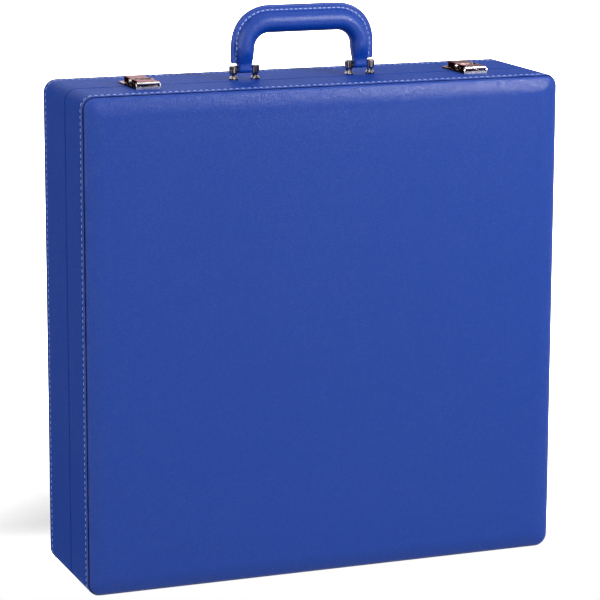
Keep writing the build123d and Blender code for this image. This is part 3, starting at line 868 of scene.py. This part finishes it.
# Cloth of the grip and its stitches
GRIP_PIN_LOW = CASE_H + 18.0
GRIP_PIN_EDGE = 1.5
GRIP_PRESSURE = 1.2
GRIP_CAP = 0.35
GRIP_SIDE_POINTS = 34
HANDLE_STITCH_LOW = CASE_H + 14.4
HANDLE_STITCH_LEN = 2.8
HANDLE_STITCH_PITCH = 3.9
HANDLE_STITCH_INSET = 3.7
HANDLE_STITCH_PROUD = 0.12


def smooth(t):
    t = min(max(t, 0.0), 1.0)
    return t * t * (3 - 2 * t)


def arch_path():
    """Stations along the middle of the handle: its point (x, z) and the outward direction there."""
    heights = [LEG_LOW + step for step in TONGUE_STEPS] + [WELT_LOW + step for step in WELT_STEPS]
    stations = [((-LEG_X, z), (-1.0, 0.0)) for z in heights]
    for i in range(BEND_STEPS + 1):
        angle = math.radians(180 - 90 * i / BEND_STEPS)
        outward = (math.cos(angle), math.sin(angle))
        stations.append(((-LEG_X + BEND + BEND * outward[0], BEND_Z + BEND * outward[1]), outward))
    inner = LEG_X - BEND
    for i in range(1, BAR_STEPS + 1):
        stations.append(((-inner + inner * i / BAR_STEPS, GRIP_Z), (0.0, 1.0)))
    mirrored = [((-p[0], p[1]), (-o[0], o[1])) for p, o in reversed(stations[:-1])]
    return stations + mirrored


class Section:
    """Cross-section of the grip at one station: inner reach, half depth, outer reach and squareness."""

    def __init__(self, point, outward):
        z = point[1]
        turned = math.degrees(math.atan2(outward[1], abs(outward[0])))
        wide = smooth((z - WIDEN_LOW) / WIDEN_SPAN)
        if z < BEND_Z:
            gain = ELBOW_GAIN * smooth((z - LEG_FULL) / (BEND_Z - LEG_FULL))
            self.reach = TONGUE_REACH + LEG_GAIN_REACH * wide + gain
            self.half = TONGUE_HALF + LEG_GAIN_HALF * wide + gain
        else:
            self.reach = ELBOW_R + ELBOW_GAIN * smooth(turned / 90)
            self.half = self.reach
        self.power = 2.0 + 3.0 * (1 - wide)
        self.outer = self.welt_reach(z, WELT_REACH + WELT_GAIN * smooth(turned / 55))
        foot = LEG_LOW + LEG_ROUND
        self.drop = math.sqrt(max(0.0004, 1 - ((foot - z) / LEG_ROUND) ** 2)) if z < foot else 1.0

    def welt_reach(self, z, full):
        """Outer reach of the sewn edge, rounded where it starts and none below."""
        start = WELT_LOW + WELT_ROUND
        if z < WELT_LOW:
            return self.reach
        if z >= start:
            return full
        share = math.sqrt(max(0.0, 1 - ((start - z) / WELT_ROUND) ** 2))
        return self.reach + (full - self.reach) * share

    def depth(self, n):
        """Half depth of the grip at a distance outwards from its middle line."""
        inside = 1 - abs(n / self.reach) ** self.power
        bulge = self.half * max(inside, 0.0) ** (1 / self.power)
        flat = 0.0
        if n > 0:
            end = max((n - (self.outer - WELT_EDGE)) / WELT_EDGE, 0.0)
            share = min(1.0, (self.outer - self.reach) / 1.5)
            flat = WELT_HALF * math.sqrt(max(0.0, 1 - end * end)) * share
        if flat <= 0.0:
            return bulge * self.drop
        # A smooth maximum of padding and sewn edge
        k = 1.5 * min(1.0, (self.outer - n) / 2.0)
        gap = bulge - flat
        return 0.5 * (bulge + flat + math.sqrt(gap * gap + k * k)) * self.drop - 0.5 * k * (gap < 0)


def make_grip():
    verts = []
    loops = []
    pins = []
    count = GRIP_SIDE_POINTS
    for point, outward in arch_path():
        section = Section(point, outward)
        half = []
        for i in range(count + 1):
            n = -section.reach + (section.outer + section.reach) * (1 - math.cos(math.pi * i / count)) / 2
            half.append((n, section.depth(n) if 0 < i < count else 0.0))
        outline = half + [(n, -y) for n, y in reversed(half[1:-1])]
        loop = []
        for n, y in outline:
            held = n > section.reach - GRIP_PIN_EDGE or point[1] < GRIP_PIN_LOW
            loop.append(len(verts))
            verts.append((point[0] + outward[0] * n, y, point[1] + outward[1] * n))
            pins.append(1.0 if held else 0.0)
        loops.append(loop)
    faces = []
    for first, second in zip(loops, loops[1:]):
        join_loops(faces, first, second)
    faces.append(tuple(reversed(loops[0])))
    faces.append(tuple(loops[-1]))
    obj = make_object("handle_padded_grip", verts, faces, leather_grip, "handle", 60.0)
    inflate(obj, pins, GRIP_PRESSURE, GRIP_CAP)
    return obj


def handle_stitches():
    """Two rows, front and back, along the sewn edge of the grip."""
    line = []
    depths = []
    for point, outward in arch_path():
        if point[1] < HANDLE_STITCH_LOW:
            continue
        section = Section(point, outward)
        reach = section.outer - HANDLE_STITCH_INSET
        line.append(Vector((point[0] + outward[0] * reach, 0, point[1] + outward[1] * reach)))
        depths.append(section.depth(reach))
    lengths = [0.0]
    for a, b in zip(line, line[1:]):
        lengths.append(lengths[-1] + (b - a).length)
    count = int(lengths[-1] / HANDLE_STITCH_PITCH)
    places = []
    for k in range(count):
        s = (k + 0.5) * lengths[-1] / count
        i = max(j for j in range(len(lengths) - 1) if lengths[j] <= s)
        t = (s - lengths[i]) / (lengths[i + 1] - lengths[i])
        point = line[i].lerp(line[i + 1], t)
        depth = depths[i] + (depths[i + 1] - depths[i]) * t
        along = (line[i + 1] - line[i]).normalized()
        for way in (-1, 1):
            outward = Vector((0, way, 0))
            places.append((point + outward * (depth + HANDLE_STITCH_PROUD), along, outward))
    return stitch_mesh(places, HANDLE_STITCH_LEN, "handle_stitches", "handle")


grip = make_grip()
handle_stitches()


# Linings and the insert's floor

SHEET_STEP = 9.0
SHEET_ROLL = 0.6
SHEET_SET = 0.25
CUSHION_THIN = 0.1
CUSHION_RISE = 1.1
STRIP_T = 1.2
STRIP_STEPS = 44
STRIP_EDGE = [(0.0, 0.6), (0.08, 0.9), (0.3, 1.12), (0.6, STRIP_T)]

# The insert, as in the part
FRAME_T = 3.0
LONG_SLOT = 112.0
ROW_WALL = 2.5
DIVIDER = 2.0


def sheet_steps(a, b, crowns):
    """Positions from a to b, close at both ends and across each crown, and nowhere far apart."""
    values = {a, b}
    for d in (0.15, 0.5, 1.1):
        values |= {a + d, b - d}
    for low, high in crowns:
        for share in (0.0, 0.04, 0.12, 0.26, 0.5, 0.74, 0.88, 0.96, 1.0):
            values.add(low + (high - low) * share)
    steps = sorted(values)
    filled = []
    for u, v in zip(steps, steps[1:]):
        count = max(1, math.ceil((v - u) / SHEET_STEP))
        filled += [u + (v - u) * i / count for i in range(count)]
    return filled + [b]


def crown_rise(x, z, crowns):
    """Height of the low cushion at a point: none outside the slots."""
    rise = 0.0
    for a, b, low, high in crowns:
        if a < x < b and low < z < high:
            across = 1 - abs(2 * (x - a) / (b - a) - 1) ** 3.5
            along = 1 - abs(2 * (z - low) / (high - low) - 1) ** 5
            rise = CUSHION_RISE * across * along
    return rise


def soft_sheet(name, node_name, way, body, thinner=0.0, crowns=()):
    """Velvet over a thin board in a node's place, its edges rolled, with a low cushion in each crown."""
    low, high = node_span(node_name)
    plane_y = low[1] if way > 0 else high[1]
    thick = high[1] - low[1] - thinner
    xs = sheet_steps(low[0], high[0], [(c[0], c[1]) for c in crowns])
    zs = sheet_steps(low[2], high[2], [(c[2], c[3]) for c in crowns])
    verts = []
    for x in xs:
        for z in zs:
            d = min(x - low[0], high[0] - x, z - low[2], high[2] - z)
            roll = SHEET_ROLL * (1 - math.sqrt(max(0.0, 1 - (1 - min(d, SHEET_ROLL) / SHEET_ROLL) ** 2)))
            wave = 0.12 * math.sin(x / 23.0 + 1.3) * math.sin(z / 31.0) * min(d / 6.0, 1.0)
            lift = thick - SHEET_SET + wave + crown_rise(x, z, crowns) - roll
            verts.append((x, plane_y + way * lift, z))
    faces = grid_faces(len(xs), len(zs))
    border = grid_border(len(xs), len(zs))
    ring = []
    for k in border:
        ring.append(len(verts))
        verts.append((verts[k][0], plane_y, verts[k][2]))
    join_loops(faces, border, ring)
    faces.append(tuple(ring))
    return make_object(name, verts, faces, pile, body, 60.0)


def wall_strips(name, node_name, body):
    """The four strips that line a shell's walls, each a rolled-edge sheet with a soft face."""
    (_, y0, z0), (x1, y1, z1) = node_span(node_name)
    across = [(y0, 0)] + [(y0 + a, t) for a, t in STRIP_EDGE]
    across += [(y0 + (y1 - y0) * i / 8, STRIP_T) for i in range(1, 8)]
    across += [(y1 - a, t) for a, t in reversed(STRIP_EDGE)] + [(y1, 0)]
    verts = []
    faces = []

    def strip(start, end, corner, along, inward):
        rows = []
        for i in range(STRIP_STEPS + 1):
            s = start + (end - start) * i / STRIP_STEPS
            row = []
            for y, t in across:
                soft = 0.10 * math.sin(s / 17.0) * math.sin(y / 11.0) if t == STRIP_T else 0.0
                lift = max(t - 0.12 + soft, 0.0) if t > 0 else 0.0
                x = corner[0] + along[0] * s + inward[0] * lift
                z = corner[1] + along[1] * s + inward[1] * lift
                row.append(len(verts))
                verts.append((x, y, z))
            rows.append(row)
        for first, second in zip(rows, rows[1:]):
            join_loops(faces, first, second)
        faces.append(tuple(reversed(rows[0])))
        faces.append(tuple(rows[-1]))

    strip(z0, z1, (-x1, 0.0), (0.0, 1.0), (1.0, 0.0))
    strip(z0, z1, (x1, 0.0), (0.0, 1.0), (-1.0, 0.0))
    strip(-x1 + STRIP_T, x1 - STRIP_T, (0.0, z0), (1.0, 0.0), (0.0, 1.0))
    strip(-x1 + STRIP_T, x1 - STRIP_T, (0.0, z1), (1.0, 0.0), (0.0, -1.0))
    return make_object(name, verts, faces, pile, body, 60.0)


def slots():
    """Openings of the insert between its dividers, as x0, x1, z0, z1."""
    frame_low, frame_high = node_span("insert_frame")
    x_in = frame_high[0] - FRAME_T
    z0 = frame_low[2] + FRAME_T
    z1 = frame_high[2] - FRAME_T
    middle = (z0 + z1) / 2
    row = LONG_SLOT + ROW_WALL
    rows = [(z0, z0 + LONG_SLOT, 8), (z0 + row, middle - ROW_WALL / 2, 4),
            (middle + ROW_WALL / 2, z1 - row, 4), (z1 - LONG_SLOT, z1, 8)]
    for low, high, columns in rows:
        width = (2 * x_in - (columns - 1) * DIVIDER) / columns
        for i in range(columns):
            x = -x_in + i * (width + DIVIDER)
            yield x, x + width, low, high


def line_inside():
    """Linings of both shells and the cushioned floor under the insert."""
    lid_floor = soft_sheet("lid_floor_velvet", "lid_floor_lining", 1, "lid")
    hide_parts("lid_floor_lining")
    base_floor = soft_sheet("base_floor_velvet", "base_floor_lining", -1, "base")
    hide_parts("base_floor_lining")
    pad = soft_sheet("insert_cushion", "insert_floor_pad", -1, "base", CUSHION_THIN, list(slots()))
    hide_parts("insert_floor_pad")
    for side in ("lid", "base"):
        strips = wall_strips(f"{side}_wall_velvet", f"{side}_wall_lining", side)
        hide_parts(f"{side}_wall_lining")


# CAD nodes that stay, with their finish

def finish(names, material, bevel=0.0, angle=35.0):
    """Give nodes of the part a material and, for bevel in millimetres, softened edges."""
    for name in names:
        obj = nodes[name]
        obj.data.materials.clear()
        obj.data.materials.append(material)
        if bevel:
            made = obj.modifiers.new("edge", "BEVEL")
            made.width = bevel * MM
            made.segments = 2
            made.limit_method = "ANGLE"
            made.angle_limit = math.radians(angle)


finish(["lid_side_boards", "lid_end_boards", "base_side_boards", "base_end_boards", "lid_front_panel",
        "base_back_panel", "lid_front_foam", "base_back_foam"], board)
finish(["insert_frame", "insert_row_walls", "insert_dividers"], pile, 0.5)
finish(["handle_posts"], nickel_post, 0.25, 25)
finish(["latch_base_plates", "latch_keepers"], nickel, 0.15, 30)
finish(["latch_lever_left", "latch_lever_right", "latch_hasp_left", "latch_hasp_right"], nickel_top, 0.15, 30)
finish(["latch_plate_rivets", "keeper_rivets", "lid_hinge_leaves", "base_hinge_leaves"], nickel, 0.05, 30)
finish(["hinge_pins", "lid_hinge_screws", "base_hinge_screws", "handle_core", "handle_pivots", "handle_nuts",
        "handle_washers", "latch_stubs_left", "latch_stubs_right", "latch_cross_pin_left",
        "latch_cross_pin_right"], steel)

line_inside()
for obj in list(bpy.context.scene.objects):
    if "on_body" in obj:
        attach(obj, obj["on_body"])
        del obj["on_body"]
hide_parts("lid_wall_cover")
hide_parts("base_wall_cover")
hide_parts("lid_front_cover", "lid_front_foam")
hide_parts("base_back_cover", "base_back_foam")
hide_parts("handle_grip", "handle_welt")


# Floor, in metres from here on

FLOOR_REACH = 6.0
FLOOR_NEAR = (SEAM - 5.0) * MM
FLOOR_FULL = 0.16
FLOOR_GONE = 0.62


def fade(tree, value, start, end):
    """0 before start, 1 past end, smooth between."""
    made = node(tree, "ShaderNodeMapRange")
    made.interpolation_type = "SMOOTHSTEP"
    made.inputs["From Min"].default_value = start
    made.inputs["From Max"].default_value = end
    tree.links.new(value, made.inputs["Value"])
    return made.outputs[0]


def build_floor():
    """Shadow floor that thins out away from the case.

    It thins to nothing in front, where the opened lid swings below the foot of the case.
    """
    mesh = bpy.data.meshes.new("floor")
    far = FLOOR_REACH
    corners = [(-far, FLOOR_NEAR, 0), (far, FLOOR_NEAR, 0), (far, far, 0), (-far, far, 0)]
    mesh.from_pydata(corners, [], [(0, 1, 2, 3)])
    floor = add_to_scene("floor", mesh)
    mat, tree, shader = new_material("floor_pale")
    shader.inputs["Base Color"].default_value = (0.82, 0.82, 0.82, 1)
    shader.inputs["Roughness"].default_value = 0.9
    place = tree.nodes.new("ShaderNodeTexCoord").outputs["Object"]
    split = tree.nodes.new("ShaderNodeSeparateXYZ")
    tree.links.new(place, split.inputs[0])
    reach = tree.nodes.new("ShaderNodeVectorMath")
    reach.operation = "LENGTH"
    tree.links.new(place, reach.inputs[0])
    away = minus(tree, 1.0, fade(tree, reach.outputs["Value"], FLOOR_FULL, FLOOR_GONE))
    behind = fade(tree, split.outputs["Y"], FLOOR_NEAR, FLOOR_FULL)
    tree.links.new(times(tree, away, behind), shader.inputs["Alpha"])
    mesh.materials.append(mat)
    floor.is_shadow_catcher = True


# Surroundings, lamps and camera

def build_world():
    """White where the camera or a reflection sees it, and dimmer as a light on the case."""
    world = bpy.data.worlds.new("studio")
    bpy.context.scene.world = world
    world.use_nodes = True
    tree = world.node_tree
    tree.nodes.clear()
    path = tree.nodes.new("ShaderNodeLightPath").outputs
    seen = maths(tree, "MAXIMUM", path["Is Glossy Ray"], path["Is Transmission Ray"])
    seen = maths(tree, "MAXIMUM", path["Is Camera Ray"], seen)
    bright = node(tree, "ShaderNodeBackground", Strength=1.0)
    bright.inputs["Color"].default_value = (1, 1, 1, 1)
    dim = node(tree, "ShaderNodeBackground", Strength=0.31)
    dim.inputs["Color"].default_value = (0.97, 0.98, 1, 1)
    blend = tree.nodes.new("ShaderNodeMixShader")
    out = tree.nodes.new("ShaderNodeOutputWorld")
    tree.links.new(seen, blend.inputs[0])
    tree.links.new(dim.outputs[0], blend.inputs[1])
    tree.links.new(bright.outputs[0], blend.inputs[2])
    tree.links.new(blend.outputs[0], out.inputs[0])


def area_light(name, place, target, size, size_y, power):
    data = bpy.data.lights.new(name, "AREA")
    data.shape = "RECTANGLE"
    data.size = size
    data.size_y = size_y
    data.energy = power
    obj = add_to_scene(name, data)
    obj.location = place
    obj.rotation_euler = (Vector(target) - Vector(place)).to_track_quat("-Z", "Y").to_euler()


def build_lights():
    """The key lamp's reflection lies on the pad's upper slope; the others fill in from all round."""
    middle = (0, 0, 0.22)
    area_light("key", (0.90, -1.335, 1.057), (0.05, -0.05, 0.36), 0.42, 1.0, 29)
    area_light("side", (-2.0, -0.5, 0.9), middle, 1.5, 1.5, 15)
    area_light("top", (0.1, 0.3, 2.3), middle, 1.6, 1.2, 3)
    area_light("back", (0.1, 1.9, 1.2), middle, 1.3, 1.2, 11)


# The photograph's camera: picture in pixels, sensor in millimetres, place in metres
PHOTO_SIZE = 600
FOCAL_LENGTH = 2728.8
CENTRE_X = 283.97
CENTRE_Y = 268.95
SENSOR = 36.0
CAMERA_PLACE = (-0.77303, -1.99833, 0.67052)
CAMERA_TURN = math.radians(-20.770)
CAMERA_TILT = math.radians(11.464)
CAMERA_ROLL = math.radians(0.106)


def build_camera():
    level = math.cos(CAMERA_TILT)
    ahead = Vector((-math.sin(CAMERA_TURN) * level, math.cos(CAMERA_TURN) * level, -math.sin(CAMERA_TILT)))
    roll = Matrix.Rotation(CAMERA_ROLL, 3, "Z").to_quaternion()
    data = bpy.data.cameras.new("camera")
    data.sensor_width = SENSOR
    data.lens = FOCAL_LENGTH / PHOTO_SIZE * SENSOR
    data.shift_x = (PHOTO_SIZE / 2 - CENTRE_X) / PHOTO_SIZE
    data.shift_y = (CENTRE_Y - PHOTO_SIZE / 2) / PHOTO_SIZE
    data.clip_end = 50
    camera = add_to_scene("camera", data)
    camera.location = CAMERA_PLACE
    camera.rotation_mode = "QUATERNION"
    camera.rotation_quaternion = ahead.to_track_quat("-Z", "Y") @ roll
    bpy.context.scene.camera = camera


build_floor()
build_world()
build_lights()
build_camera()
bpy.context.scene.view_settings.view_transform = "Standard"
